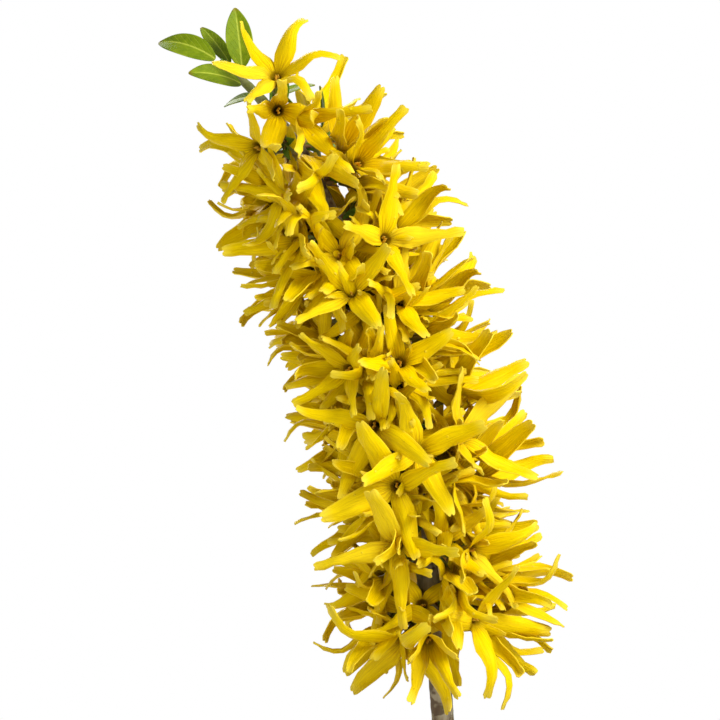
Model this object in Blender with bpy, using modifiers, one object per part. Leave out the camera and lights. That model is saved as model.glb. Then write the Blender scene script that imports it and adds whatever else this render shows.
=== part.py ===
"""A flowering forsythia shoot growing in a plain clay pot.

The origin is the centre of the pot's underside, +Z is up and -Y is the front.
The woody stem rises from the soil and leans towards -X. Flowers sit in groups on
short spurs round the stem, and young leaves grow at its tip and on one side shoot.
Sizes are in metres and angles in degrees.
"""

import math

import bmesh
import bpy
from mathutils import Matrix, Quaternion, Vector
from mathutils.bvhtree import BVHTree

# Gap kept between pieces that rest on or in each other.
GAP = 0.0003

# Clay pot.
RIM_RADIUS = 0.052
RIM_HEIGHT = 0.020
RIM_LEDGE = 0.0035
POT_HEIGHT = 0.092
POT_FOOT_RADIUS = 0.035
POT_WALL = 0.005
POT_FLOOR = 0.0065
POT_CHAMFER = 0.0012
POT_SIDES = 40
DRAIN_COUNT = 3
DRAIN_RADIUS = 0.0042
DRAIN_CIRCLE = 0.017

# Potting soil.
SOIL_BELOW_RIM = 0.011
SOIL_CROWN = 0.002
SOIL_SIDES = 40

# Woody stem.
STEM_HEIGHT = 0.200
STEM_LEAN = 0.046
STEM_LEAN_POWER = 2.1
TIP_HOOK = 0.010
TIP_HOOK_POWER = 14
STEM_BOW = 0.003
STEM_BASE_RADIUS = 0.0029
STEM_TIP_RADIUS = 0.0009
STEM_TAPER_POWER = 7
STEM_BURIED = 0.032
STEM_POINTS = 44
NODE_SWELL = 0.0003
NODE_LENGTH = 0.0016

# Pairs of flower spurs up the stem, by turns to its sides and to its back. The spurs of the
# flowers that face the front are listed further down.
FIRST_PAIR = 0.330
LAST_PAIR = 0.900
PAIR_COUNT = 12
SIDE_PAIR = (84, -80)
BACK_PAIR = (146, -142)
SPUR_LENGTH = 0.0024
SPUR_BASE_RADIUS = 0.0013
SPUR_END_RADIUS = 0.0010
SPUR_SIDES = 6
ROOT_FIRST = 0.30
ROOT_STEP = 0.09

# Flower.
THROAT_RADIUS = 0.0020
TUBE_LENGTH = 0.0060
STALK_RADIUS = 0.0005
PETAL_LENGTH = 0.0180
PETAL_WIDTH = 0.0046
PETAL_TIP_WIDTH = 0.0026
PETAL_THICKNESS = 0.0005
PETAL_BASE_SHARE = 0.8
PETAL_CLEARANCE = 0.0001
FLOWER_REACH = 0.0130
FLOWER_VARIES = 0.1
SHADE_SHORTENS = 0.22
LOW_DROOP = 0.45
DROOP_BELOW = 0.5
TRIES = 110
TRY_LEAN = 3.2
TRY_CLOSE = 0.004
GOLDEN_ANGLE = 137.5
LEAST_OUTWARD = 0.45

# A young flower, for a spur with no room for its full-grown first one, as (turn, rise, reach,
# turn of the first petal, spread, petals, length).
YOUNG = (0, 0, 0.0100, 0, 26, 4, 0.0115)

# Where each flower of a spur points, as (turn round the stem, rise above square to it,
# spread, reach as a share of the full reach).
FAN = (
    (0, 26, 25, 1.0),
    (-40, 0, 31, 1.0),
    (42, 4, 26, 1.0),
    (4, -36, 34, 1.0),
    (-28, 46, 28, 0.9),
    (34, -40, 24, 0.9),
    (16, 2, 20, 0.72),
    (-18, -14, 20, 0.72),
    (-60, 28, 22, 0.8),
    (60, -20, 22, 0.8),
)

# Flowers of the fan stay under a ridge that falls away to the left and right of its top.
CROWN_ABOVE_STEM = 0.002
CROWN_FROM_TIP = 0.013
CROWN_SLOPE = 0.85

# Flowers that stand clear of the rest and face the front, as (share of the stem's height,
# turn round the stem, rise, reach, turn of the first petal, spread, petals, length).
FACE_FLOWERS = (
    (0.300, -36, -20, 0.0140, 31, 66, 4, 0.0215),
    (0.310, 40, -10, 0.0140, -10, 56, 4, 0.0185),
    (0.366, -62, -14, 0.0135, 3, 44, 4, 0.0180),
    (0.380, 46, -2, 0.0135, 18, 54, 4, 0.0160),
    (0.409, -26, -10, 0.0140, -50, 62, 4, 0.0205),
    (0.467, -14, -6, 0.0140, -4, 60, 4, 0.0200),
    (0.500, 56, 6, 0.0145, 32, 52, 4, 0.0205),
    (0.508, 10, -4, 0.0145, 12, 60, 4, 0.0165),
    (0.555, -24, -8, 0.0140, 6, 58, 4, 0.0200),
    (0.590, 12, 4, 0.0145, 30, 54, 4, 0.0140),
    (0.620, -36, 2, 0.0140, 64, 46, 4, 0.0160),
    (0.670, 34, 6, 0.0125, -33, 54, 4, 0.0150),
    (0.692, 2, 8, 0.0170, -13, 56, 4, 0.0160),
    (0.735, -14, 6, 0.0125, 0, 52, 4, 0.0160),
    (0.752, 28, 6, 0.0165, -28, 58, 4, 0.0175),
    (0.790, -40, 4, 0.0145, -24, 46, 4, 0.0200),
    (0.828, -44, 10, 0.0140, 55, 58, 4, 0.0175),
    (0.909, -36, 2, 0.0125, 0, 62, 4, 0.0175),
    (0.942, 26, 27, 0.0130, 20, 66, 6, 0.0155),
)
FACE_COMPANIONS = (3, 4, 2, 1, 7)

# Leaves on the stem, as (name, share of the stem's height, turn round the vertical with 0 to
# the front and 90 to the right, rise above level, length, width, roll, curl).
STEM_LEAVES = (
    ("tip_leaf_1", 0.992, -132, 50, 0.0160, 0.0050, -30, 20),
    ("tip_leaf_2", 1.000, -88, 34, 0.0185, 0.0080, -62, 60),
    ("tip_leaf_3", 0.985, -88, 84, 0.0160, 0.0076, -80, 6),
    ("tip_leaf_4", 0.975, -52, 20, 0.0150, 0.0084, -50, 34),
    ("tip_leaf_5", 0.965, -140, 2, 0.0140, 0.0050, -40, 20),
    ("stem_leaf_1", 0.925, -100, -50, 0.0090, 0.0040, -30, 20),
    ("stem_leaf_2", 0.955, 100, 34, 0.0120, 0.0056, 20, 30),
)
SIDE_SHOOT_AT = 0.872
SIDE_SHOOT_TURN = 62
SIDE_SHOOT_RISE = 66
SIDE_SHOOT_LENGTH = 0.0050
SIDE_SHOOT_RADIUS = 0.0011
SHOOT_LEAVES = (
    ("shoot_leaf_1", 0, -50, 56, 0.0120, 0.0036, -20, 14),
    ("shoot_leaf_2", 0, 60, 74, 0.0110, 0.0032, 50, -34),
    ("shoot_leaf_3", 0, 130, 40, 0.0080, 0.0032, 0, 20),
    ("shoot_leaf_4", 0, 30, 10, 0.0060, 0.0030, 0, 30),
)
LEAF_THICKNESS = 0.0004
LEAF_STALK_WIDTH = 0.0008
LEAF_CROSS_FOLD = 0.18
LEAF_LEAST_APART = 0.42

FACE_SHARES = [row[0] for row in FACE_FLOWERS]
POT_INNER_FOOT = POT_FOOT_RADIUS - POT_WALL
POT_NECK_RADIUS = RIM_RADIUS - RIM_LEDGE
SOIL_TOP = POT_HEIGHT - SOIL_BELOW_RIM
CROWN_TOP = SOIL_TOP + STEM_HEIGHT + CROWN_ABOVE_STEM
CROWN_X = CROWN_FROM_TIP - STEM_LEAN


# ---------------------------------------------------------------- scene and materials


def clear_scene():
    for obj in list(bpy.data.objects):
        bpy.data.objects.remove(obj)


def material(name, colour, roughness):
    made = bpy.data.materials.new(name)
    made.use_nodes = True
    shader = made.node_tree.nodes["Principled BSDF"]
    shader.inputs["Base Color"].default_value = (*colour, 1)
    shader.inputs["Roughness"].default_value = roughness
    shader.inputs["Metallic"].default_value = 0
    return made


def add_object(name, mesh, finish, collection):
    obj = bpy.data.objects.new(name, mesh)
    obj.data.materials.clear()
    obj.data.materials.append(finish)
    collection.objects.link(obj)
    return obj


def evaluated_mesh(obj):
    """The object's mesh with its modifiers applied."""
    bpy.context.view_layer.update()
    graph = bpy.context.evaluated_depsgraph_get()
    return bpy.data.meshes.new_from_object(obj.evaluated_get(graph))


def turned(name, profile, sides, closed, finish, collection):
    """A turned piece from (radius, height) points that run down its outer side."""
    mesh = bpy.data.meshes.new(name)
    edges = [(i, i + 1) for i in range(len(profile) - 1)]
    if closed:
        edges.append((len(profile) - 1, 0))
    mesh.from_pydata([(radius, 0, height) for radius, height in profile], edges, [])
    obj = add_object(name, mesh, finish, collection)
    screw = obj.modifiers.new("turn", "SCREW")
    screw.steps = sides
    screw.render_steps = sides
    screw.use_merge_vertices = True
    screw.merge_threshold = 0.0001
    return obj


# ---------------------------------------------------------------- pot and soil


def pot_wall_radius(height, inset):
    """The pot's tapering side at a height, measured in from its outer face."""
    share = height / (POT_HEIGHT - RIM_HEIGHT)
    return POT_FOOT_RADIUS + (POT_NECK_RADIUS - POT_FOOT_RADIUS) * share - inset


def pot_inside_radius(height):
    """The inner face runs straight from the floor up to the rim's mouth."""
    mouth = RIM_RADIUS - POT_WALL
    share = (height - POT_FLOOR) / (POT_HEIGHT - POT_FLOOR)
    return POT_INNER_FOOT + (mouth - POT_INNER_FOOT) * share


def build_pot(finish, parts, cutters):
    rim_foot = POT_HEIGHT - RIM_HEIGHT
    profile = (
        (RIM_RADIUS - POT_CHAMFER, POT_HEIGHT),
        (RIM_RADIUS, POT_HEIGHT - POT_CHAMFER),
        (RIM_RADIUS - POT_CHAMFER / 2, rim_foot + POT_CHAMFER),
        (RIM_RADIUS - POT_CHAMFER * 1.5, rim_foot),
        (pot_wall_radius(rim_foot, POT_CHAMFER / 2), rim_foot),
        (pot_wall_radius(POT_CHAMFER, 0), POT_CHAMFER),
        (POT_FOOT_RADIUS - POT_CHAMFER, 0),
        (0, 0),
        (0, POT_FLOOR),
        (POT_INNER_FOOT - POT_CHAMFER, POT_FLOOR),
        (pot_inside_radius(POT_FLOOR + POT_CHAMFER), POT_FLOOR + POT_CHAMFER),
        (pot_inside_radius(POT_HEIGHT - POT_CHAMFER), POT_HEIGHT - POT_CHAMFER),
        (pot_inside_radius(POT_HEIGHT) + POT_CHAMFER, POT_HEIGHT),
    )
    pot = turned("pot", profile, POT_SIDES, True, finish, parts)
    for index in range(DRAIN_COUNT):
        angle = math.tau * index / DRAIN_COUNT + math.pi / 2
        place = Vector((math.cos(angle), math.sin(angle), 0)) * DRAIN_CIRCLE
        place.z = POT_FLOOR / 2
        bm = bmesh.new()
        bmesh.ops.create_cone(
            bm,
            cap_ends=True,
            segments=12,
            radius1=DRAIN_RADIUS,
            radius2=DRAIN_RADIUS,
            depth=POT_FLOOR * 2,
        )
        mesh = bpy.data.meshes.new("drain_cutter")
        bm.to_mesh(mesh)
        bm.free()
        cutter = bpy.data.objects.new(f"drain_cutter_{index + 1}", mesh)
        cutter.location = place
        cutter.hide_render = True
        cutter.display_type = "WIRE"
        cutters.objects.link(cutter)
        hole = pot.modifiers.new(f"drain_{index + 1}", "BOOLEAN")
        hole.operation = "DIFFERENCE"
        hole.object = cutter
    return pot


def build_soil(finish, parts):
    """The soil fills the pot and holds the stem's buried end in a close hole."""
    foot = POT_FLOOR + GAP
    foot_edge = foot + POT_CHAMFER * 2
    hole = stem_radius(0) + GAP * 2
    hole_foot = SOIL_TOP - STEM_BURIED - GAP * 2
    profile = (
        (hole, SOIL_TOP + SOIL_CROWN),
        (pot_inside_radius(SOIL_TOP) * 0.6, SOIL_TOP + SOIL_CROWN * 0.6),
        (pot_inside_radius(SOIL_TOP) - GAP * 1.5, SOIL_TOP),
        (pot_inside_radius(foot_edge) - GAP * 1.5, foot_edge),
        (pot_inside_radius(foot) - POT_CHAMFER * 3, foot),
        (0, foot),
        (0, hole_foot),
        (hole, hole_foot),
    )
    return turned("soil", profile, SOIL_SIDES, True, finish, parts)


# ---------------------------------------------------------------- stem


def stem_point(share):
    """The stem's centre line, from 0 at the soil's surface to 1 at the tip."""
    above = max(share, 0)
    return Vector(
        (
            -STEM_LEAN * above**STEM_LEAN_POWER - TIP_HOOK * above**TIP_HOOK_POWER,
            -STEM_BOW * math.sin(math.pi * min(above, 1)),
            SOIL_TOP + STEM_HEIGHT * share,
        )
    )


def pair_share(index):
    return FIRST_PAIR + (LAST_PAIR - FIRST_PAIR) * index / (PAIR_COUNT - 1)


def stem_radius(share):
    """The stem tapers near its tip, and swells a little at each pair of spurs."""
    above = min(max(share, 0), 1)
    taper = (STEM_BASE_RADIUS - STEM_TIP_RADIUS) * above**STEM_TAPER_POWER
    swell = 0
    for index in range(PAIR_COUNT):
        apart = (share - pair_share(index)) * STEM_HEIGHT / NODE_LENGTH
        swell += NODE_SWELL * math.exp(-apart * apart)
    return STEM_BASE_RADIUS - taper + swell


def stem_frame(share):
    """(point, along the stem, square to it to the front, square to it to the right)."""
    step = 0.002
    along = (stem_point(share + step) - stem_point(share - step)).normalized()
    front = Vector((0, -1, 0))
    front = (front - along * front.dot(along)).normalized()
    return stem_point(share), along, front, along.cross(front)


def stem_direction(share, turn, rise):
    """A direction from the stem: turn runs round it from the front, rise is towards its tip."""
    _, along, front, right = stem_frame(share)
    turn, rise = math.radians(turn), math.radians(rise)
    out = front * math.cos(turn) + right * math.sin(turn)
    return out * math.cos(rise) + along * math.sin(rise)


def build_stem(finish, parts):
    curve = bpy.data.curves.new("stem", "CURVE")
    curve.dimensions = "3D"
    curve.bevel_depth = 1
    curve.bevel_resolution = 2
    curve.use_fill_caps = True
    spline = curve.splines.new("POLY")
    spline.points.add(STEM_POINTS - 1)
    foot = -STEM_BURIED / STEM_HEIGHT
    for index, point in enumerate(spline.points):
        share = foot + (1 - foot) * index / (STEM_POINTS - 1)
        point.co = (*stem_point(share), 1)
        point.radius = stem_radius(share)
    holder = bpy.data.objects.new("stem_curve", curve)
    parts.objects.link(holder)
    mesh = evaluated_mesh(holder)
    bpy.data.objects.remove(holder)
    bm = bmesh.new()
    bm.from_mesh(mesh)
    bmesh.ops.remove_doubles(bm, verts=bm.verts, dist=0.00001)
    bm.to_mesh(mesh)
    bm.free()
    mesh.shade_smooth()
    return add_object("stem", mesh, finish, parts)


# ---------------------------------------------------------------- leaves


def heading(turn, rise):
    """A direction from a turn round the vertical, 0 to the front, and a rise above level."""
    turn, rise = math.radians(turn), math.radians(rise)
    level = math.cos(rise)
    return Vector((math.sin(turn) * level, -math.cos(turn) * level, math.sin(rise)))


def leaf_outline(share):
    """Half the blade's width, as a share of its full half width, from stalk to tip."""
    return math.sin(math.pi * share**0.8) ** 0.75


def leaf_mesh(length, width, curl, rows=5):
    """A folded, curling blade along +Y with its upper side to +Z, and a short stalk."""
    bm = bmesh.new()
    bmesh.ops.create_grid(bm, x_segments=2, y_segments=rows, size=0.5)
    for vert in bm.verts:
        share = vert.co.y + 0.5
        side = vert.co.x * 2
        reach = 0.02 + 0.90 * share
        half = max(width / 2 * leaf_outline(reach), LEAF_STALK_WIDTH / 2)
        if share > 0.99:
            half = LEAF_STALK_WIDTH / 2
        bend = math.radians(curl) * share
        along = length * share
        if abs(curl) > 0.1:
            radius = length / math.radians(curl)
            place = Vector((0, radius * math.sin(bend), radius * (math.cos(bend) - 1)))
        else:
            place = Vector((0, along, 0))
        lift = abs(side) * half * LEAF_CROSS_FOLD
        vert.co = place + Vector((side * half, 0, lift))
    bmesh.ops.solidify(bm, geom=bm.faces[:], thickness=LEAF_THICKNESS)
    bmesh.ops.recalc_face_normals(bm, faces=bm.faces)
    mesh = bpy.data.meshes.new("leaf")
    bm.to_mesh(mesh)
    bm.free()
    return mesh


def leaf_placement(base, direction, roll):
    """A matrix that lays a blade along a direction, its upper side towards the sky."""
    side = direction.cross(Vector((0, 0, 1)))
    if side.length < 0.05:
        side = Vector((1, 0, 0))
    side.normalize()
    up = side.cross(direction).normalized()
    turn = Matrix((side, direction, up)).transposed().to_4x4()
    return Matrix.Translation(base) @ turn @ Matrix.Rotation(math.radians(roll), 4, "Y")


def build_leaf(row, base, along, radius, finish, parts):
    """One leaf. It starts a little way out from its base, clear of what bears it."""
    name, _, turn, rise, length, width, roll, curl = row
    direction = heading(turn, rise)
    apart = max(direction.cross(along).length, LEAF_LEAST_APART)
    start = (radius + LEAF_STALK_WIDTH + GAP) / apart
    mesh = leaf_mesh(length, width, curl)
    mesh.transform(leaf_placement(base + direction * start, direction, roll))
    return add_object(name, mesh, finish, parts)


def side_shoot_ends():
    point, _, _, _ = stem_frame(SIDE_SHOOT_AT)
    out = stem_direction(SIDE_SHOOT_AT, SIDE_SHOOT_TURN, 0)
    start = point + out * (stem_radius(SIDE_SHOOT_AT) + SIDE_SHOOT_RADIUS + GAP)
    way = stem_direction(SIDE_SHOOT_AT, SIDE_SHOOT_TURN, SIDE_SHOOT_RISE)
    return start, start + way * SIDE_SHOOT_LENGTH


def build_side_shoot(finish, parts):
    start, end = side_shoot_ends()
    way = end - start
    bm = bmesh.new()
    bmesh.ops.create_cone(
        bm,
        cap_ends=True,
        segments=8,
        radius1=SIDE_SHOOT_RADIUS,
        radius2=SIDE_SHOOT_RADIUS * 0.8,
        depth=way.length,
    )
    mesh = bpy.data.meshes.new("side_shoot")
    bm.to_mesh(mesh)
    bm.free()
    turn = way.to_track_quat("Z", "Y").to_matrix().to_4x4()
    mesh.transform(Matrix.Translation((start + end) / 2) @ turn)
    return add_object("side_shoot", mesh, finish, parts)


def build_leaves(finish, parts):
    made = []
    for row in STEM_LEAVES:
        share = row[1]
        base, along, _, _ = stem_frame(share)
        made.append(build_leaf(row, base, along, stem_radius(share), finish, parts))
    start, end = side_shoot_ends()
    along = (end - start).normalized()
    for row in SHOOT_LEAVES:
        base = end - along * SIDE_SHOOT_RADIUS
        made.append(build_leaf(row, base, along, SIDE_SHOOT_RADIUS, finish, parts))
    return made


# ---------------------------------------------------------------- flowers


def petal_sections(spread, length, petals):
    """(distance from the axis, height above the throat, width) at a petal's middle and tip."""
    low, high = math.radians(spread * 0.85), math.radians(spread * 1.2)
    half = length / 2
    middle_out = THROAT_RADIUS + half * math.sin(low)
    middle_up = half * math.cos(low)
    tip_out = middle_out + half * math.sin(high)
    tip_up = middle_up + half * math.cos(high)
    room = 2 * middle_out * math.sin(math.pi / petals) * PETAL_BASE_SHARE
    return (
        (middle_out, middle_up, min(PETAL_WIDTH, room)),
        (tip_out, tip_up, PETAL_TIP_WIDTH),
    )


def shaped_ring(bm, petals):
    """A flat disc whose edge runs wide and narrow by turns: petals grow from the wide ones."""
    sides = petals * 2
    bmesh.ops.create_circle(bm, cap_ends=True, segments=sides, radius=THROAT_RADIUS)
    half = math.pi / petals * PETAL_BASE_SHARE
    bm.verts.ensure_lookup_table()
    ring = list(bm.verts)
    for index, vert in enumerate(ring):
        centre = math.tau * (index // 2) / petals
        angle = centre + (half if index % 2 else -half)
        vert.co = Vector((math.cos(angle), math.sin(angle), 0)) * THROAT_RADIUS
    return ring


def flower_bmesh(flower, thickness, with_stalk):
    """One flower with its throat at the origin, facing +Z, its stalk running down -Z."""
    petals = flower["petals"]
    bm = bmesh.new()
    ring = shaped_ring(bm, petals)
    sections = petal_sections(flower["spread"], flower["length"], petals)
    for index in range(petals):
        centre = math.tau * index / petals
        out = Vector((math.cos(centre), math.sin(centre), 0))
        across = Vector((-math.sin(centre), math.cos(centre), 0))
        edge = bm.edges.get((ring[index * 2], ring[index * 2 + 1]))
        for away, up, width in sections:
            grown = bmesh.ops.extrude_edge_only(bm, edges=[edge])["geom"]
            ends = [v for v in grown if isinstance(v, bmesh.types.BMVert)]
            ends.sort(key=lambda vert: vert.co.dot(across))
            for vert, side in zip(ends, (-0.5, 0.5)):
                vert.co = out * away + across * width * side + Vector((0, 0, up))
            edge = bm.edges.get(ends)
    bmesh.ops.recalc_face_normals(bm, faces=bm.faces)
    bmesh.ops.solidify(bm, geom=bm.faces[:], thickness=thickness)
    discs = [face for face in bm.faces if len(face.verts) == petals * 2]
    under = min(discs, key=lambda face: face.calc_center_median().z)
    depth = flower["reach"] if with_stalk else TUBE_LENGTH
    narrowed = THROAT_RADIUS + (STALK_RADIUS - THROAT_RADIUS) * depth / flower["reach"]
    grown = bmesh.ops.extrude_face_region(bm, geom=[under])["geom"]
    bmesh.ops.delete(bm, geom=[under], context="FACES_ONLY")
    for vert in (item for item in grown if isinstance(item, bmesh.types.BMVert)):
        side = Vector((vert.co.x, vert.co.y, 0)).normalized() * narrowed
        vert.co = side - Vector((0, 0, depth))
    bmesh.ops.recalc_face_normals(bm, faces=bm.faces)
    bmesh.ops.transform(bm, matrix=flower["matrix"], verts=bm.verts)
    return bm


def flower_tree(flower, with_stalk):
    """What the flower needs clear of its neighbours: itself, a little thicker."""
    bm = flower_bmesh(flower, PETAL_THICKNESS + 2 * PETAL_CLEARANCE, with_stalk)
    bmesh.ops.triangulate(bm, faces=bm.faces)
    tree = BVHTree.FromBMesh(bm)
    bm.free()
    return tree


def flower_placement(root, way, along, reach, roll):
    """A matrix with the throat at the end of the stalk and +Z along the flower's axis."""
    side = along.cross(way).normalized()
    up = way.cross(side)
    turn = Matrix((side, up, way)).transposed().to_4x4()
    throat = root + way * reach
    return Matrix.Translation(throat) @ turn @ Matrix.Rotation(math.radians(roll), 4, "Z")


def leaned(way, attempt):
    """The way, leaning further to one side or another with each attempt."""
    amount = math.radians(TRY_LEAN * math.sqrt(attempt))
    if amount == 0:
        return way
    square = way.orthogonal()
    axis = Quaternion(way, math.radians(GOLDEN_ANGLE) * attempt * 1.7) @ square
    return Quaternion(axis.normalized(), amount) @ way


def above_crown(point):
    return point.z > CROWN_TOP - CROWN_SLOPE * abs(point.x - CROWN_X)


def clear_of(flower, other):
    """Whether two flowers stand clear. On one spur only their stalks may meet."""
    if other["spur"] != flower["spur"]:
        return not flower["whole"].overlap(other["whole"])
    if flower["head"] is None:
        flower["head"] = flower_tree(flower, False)
    if flower["head"].overlap(other["whole"]):
        return False
    if other["head"] is None:
        other["head"] = flower_tree(other, False)
    return not flower["whole"].overlap(other["head"])


def place_flower(spur, wish, under_crown, placed, obstacles):
    """The first attempt that is clear of everything placed before, or None."""
    turn, rise, full_reach, roll, spread, petals, full_length = wish
    _, along, _, _ = stem_frame(spur["share"])
    way = stem_direction(spur["share"], spur["turn"] + turn, rise)
    low = max(0, 1 - spur["share"] / DROOP_BELOW)
    way = (way + Vector((0, 0, -LOW_DROOP * low))).normalized()
    before = sum(other["spur"] == spur["name"] for other in placed)
    root = spur["foot"] + spur["out"] * SPUR_LENGTH * (ROOT_FIRST + ROOT_STEP * before)
    for attempt in range(TRIES):
        lean = leaned(way, attempt)
        shade = 1 - SHADE_SHORTENS * max(0, -lean.x)
        reach, length = full_reach * shade, full_length * shade
        too_high = under_crown and above_crown(root + lean * (reach + length))
        if too_high or lean.dot(spur["out"]) < LEAST_OUTWARD:
            continue
        flower = {
            "petals": petals,
            "spread": spread * (1 - TRY_CLOSE * attempt),
            "length": length,
            "reach": reach,
            "spur": spur["name"],
            "throat": root + lean * reach,
            "head": None,
        }
        angle = roll + GOLDEN_ANGLE * attempt
        flower["matrix"] = flower_placement(root, lean, along, reach, angle)
        flower["whole"] = flower_tree(flower, True)
        if any(
            flower["whole"].overlap(tree)
            for name, tree in obstacles.items()
            if name != spur["name"]
        ):
            continue
        span = reach + length
        near = [
            other
            for other in placed
            if (other["throat"] - flower["throat"]).length < span + other["reach"] + other["length"]
        ]
        if all(clear_of(flower, other) for other in near):
            return flower
    return None


def spur_of(name, share, turn):
    point, _, _, _ = stem_frame(share)
    out = stem_direction(share, turn, 0)
    foot = point + out * (stem_radius(share) + GAP)
    return {
        "name": name,
        "share": share,
        "turn": turn,
        "out": out,
        "foot": foot,
    }


def spur_rows():
    """Each spur with the flowers it should bear, those of the front flowers first."""
    rows = []
    for share, turn, rise, reach, roll, spread, petals, length in FACE_FLOWERS:
        spur = spur_of(f"flowers_{len(rows) + 1:02d}", share, turn)
        wishes = [(0, rise, reach, roll, spread, petals, length)]
        for member in FACE_COMPANIONS:
            side, lift, open_by, out = FAN[member]
            wishes.append((side, lift, FLOWER_REACH * out, roll + 45, open_by, 4, PETAL_LENGTH))
        rows.append((spur, wishes))
    for index in range(PAIR_COUNT):
        share = pair_share(index)
        for turn in BACK_PAIR if index % 2 else SIDE_PAIR:
            spur = spur_of(f"flowers_{len(rows) + 1:02d}", share, turn)
            wishes = []
            for member, (side, lift, open_by, out) in enumerate(FAN):
                roll = GOLDEN_ANGLE * (index + member)
                grown = 1 + FLOWER_VARIES * (((index * 7 + member * 3) % 5) / 2 - 1)
                reach = FLOWER_REACH * grown * out
                length = PETAL_LENGTH * grown * math.sqrt(out)
                wishes.append((side, lift, reach, roll, open_by, 4, length))
            rows.append((spur, wishes))
    return rows


def spur_mesh(spur):
    bm = bmesh.new()
    bmesh.ops.create_cone(
        bm,
        cap_ends=True,
        segments=SPUR_SIDES,
        radius1=SPUR_BASE_RADIUS,
        radius2=SPUR_END_RADIUS,
        depth=SPUR_LENGTH,
    )
    turn = spur["out"].to_track_quat("Z", "Y").to_matrix().to_4x4()
    middle = spur["foot"] + spur["out"] * SPUR_LENGTH / 2
    bmesh.ops.transform(bm, matrix=Matrix.Translation(middle) @ turn, verts=bm.verts)
    mesh = bpy.data.meshes.new(spur["name"])
    bm.to_mesh(mesh)
    bm.free()
    return mesh


def flowers_mesh(flowers):
    """All of a spur's flowers as one mesh of overlapping closed shapes."""
    mesh = bpy.data.meshes.new("flowers")
    whole = bmesh.new()
    for flower in flowers:
        bm = flower_bmesh(flower, PETAL_THICKNESS, True)
        bm.to_mesh(mesh)
        bm.free()
        whole.from_mesh(mesh)
    whole.to_mesh(mesh)
    whole.free()
    return mesh


def build_spur(spur, flowers, finish, parts):
    """A spur and its flowers, joined into one piece."""
    obj = add_object(spur["name"], spur_mesh(spur), finish, parts)
    if not flowers:
        return obj
    helper = bpy.data.objects.new("flowers_helper", flowers_mesh(flowers))
    parts.objects.link(helper)
    join = obj.modifiers.new("join", "BOOLEAN")
    join.operation = "UNION"
    join.use_self = True
    join.object = helper
    mesh = evaluated_mesh(obj)
    obj.modifiers.clear()
    obj.data = mesh
    bpy.data.objects.remove(helper)
    return obj


def tree_of(mesh):
    bm = bmesh.new()
    bm.from_mesh(mesh)
    bmesh.ops.triangulate(bm, faces=bm.faces)
    tree = BVHTree.FromBMesh(bm)
    bm.free()
    return tree


def build_flowers(finish, parts, neighbours):
    placed = []
    rows = spur_rows()
    obstacles = {obj.name: tree_of(obj.data) for obj in neighbours}
    for spur, _ in rows:
        obstacles[spur["name"]] = tree_of(spur_mesh(spur))
    turns = max(len(wishes) for _, wishes in rows)
    for member in range(turns):
        for spur, wishes in rows:
            if member >= len(wishes):
                continue
            fan = member > 0 or spur["share"] not in FACE_SHARES
            flower = place_flower(spur, wishes[member], fan, placed, obstacles)
            if not flower and member == 0:
                flower = place_flower(spur, YOUNG, False, placed, obstacles)
            if flower:
                placed.append(flower)
    for spur, _ in rows:
        flowers = [flower for flower in placed if flower["spur"] == spur["name"]]
        build_spur(spur, flowers, finish, parts)
    return placed


def main():
    clear_scene()
    parts = bpy.data.collections.new("potted_forsythia")
    cutters = bpy.data.collections.new("cutters")
    bpy.context.scene.collection.children.link(parts)
    bpy.context.scene.collection.children.link(cutters)
    clay = material("clay", (0.60, 0.27, 0.15), 0.85)
    earth = material("soil", (0.055, 0.035, 0.022), 0.95)
    bark = material("bark", (0.17, 0.13, 0.07), 0.75)
    leaf = material("leaf", (0.16, 0.30, 0.02), 0.45)
    petal = material("petal", (0.85, 0.60, 0.01), 0.45)
    build_pot(clay, parts, cutters)
    build_soil(earth, parts)
    stem = build_stem(bark, parts)
    shoot = build_side_shoot(leaf, parts)
    leaves = build_leaves(leaf, parts)
    placed = build_flowers(petal, parts, [stem, shoot, *leaves])
    print(len(placed), "flowers")


main()
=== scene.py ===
"""Finishes a potted forsythia shoot in full bloom on its solid frame.

Every flower, leaf and woody part is modelled over the solid of the same name, so the shoot
keeps its size and pose. Sizes are in metres.
"""

import math
import random

import bmesh
import bpy
from mathutils import Matrix, Vector


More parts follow.
